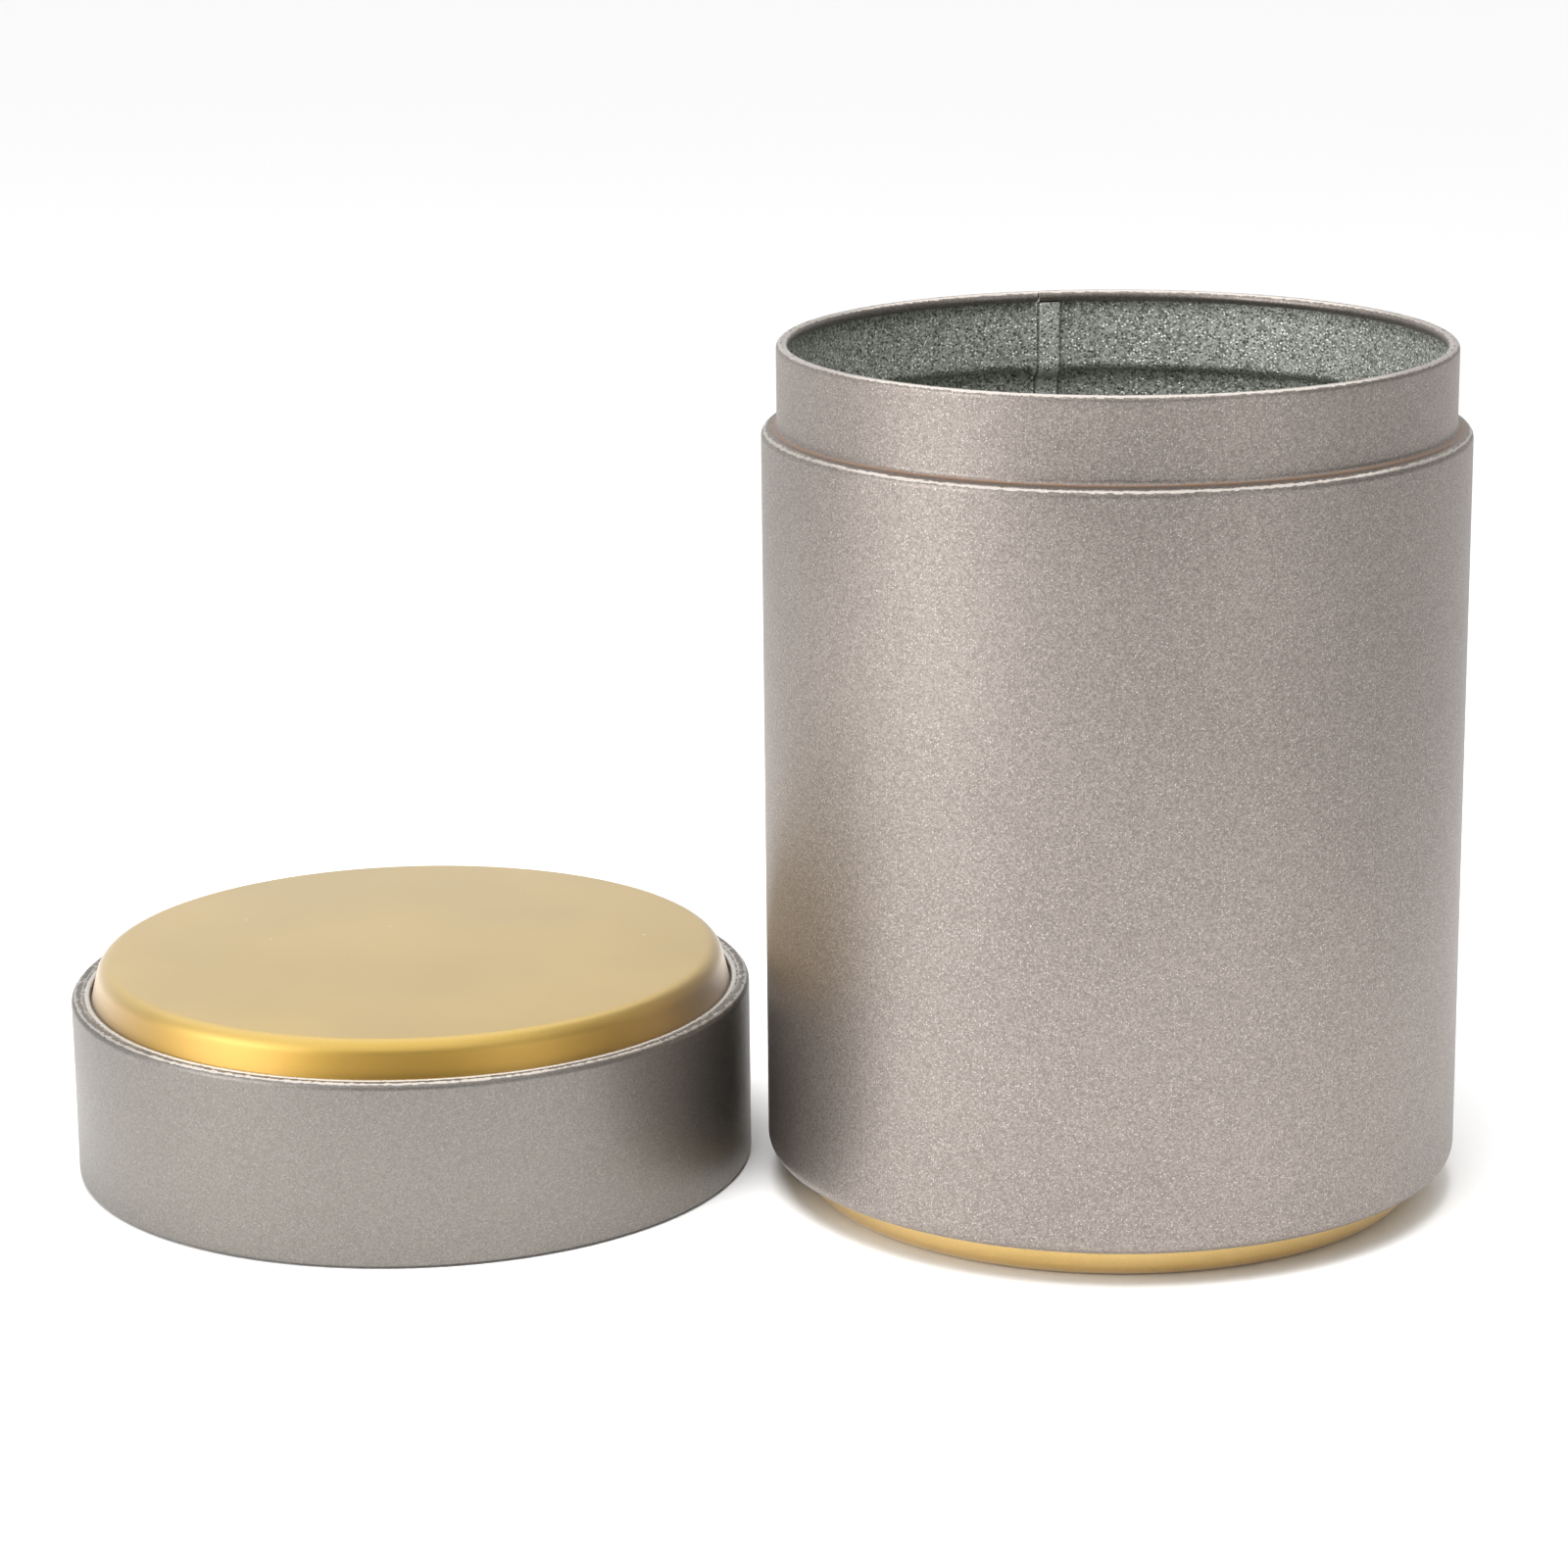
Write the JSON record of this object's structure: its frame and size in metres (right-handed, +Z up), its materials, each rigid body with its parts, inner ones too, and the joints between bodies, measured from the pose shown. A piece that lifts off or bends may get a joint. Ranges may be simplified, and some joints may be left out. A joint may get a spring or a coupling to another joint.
{
  "type": "cookie tin with lift-off lid",
  "caption": "Round tinplate storage tin: rolled body with a stepped neck and curled rim, pressed base pan, and a lift-off lid with a raised crown.",
  "frame": {"origin": "centre of the flat face of the base pan that the tin stands on", "axes": "+Z up along the tin's axis; the lid stands beside the tin towards -X, so X is the longest extent"},
  "size_m": [0.1748, 0.089, 0.106],
  "materials": {
    "pewter_lacquer": "satin metallic lacquer on tinplate",
    "gold_lacquer": "satin gold lacquer on tinplate"
  },
  "bodies": {
    "tin": {"body_shell": "pewter_lacquer", "base_pan": "gold_lacquer"},
    "lid": {"lid_skirt": "pewter_lacquer", "lid_crown": "gold_lacquer"}
  },
  "joints": [
    {"name": "lid_lift", "type": "slide", "parent": "tin", "child": "lid", "axis": [0, 0, 1], "range_m": [0, 0.12]}
  ]
}
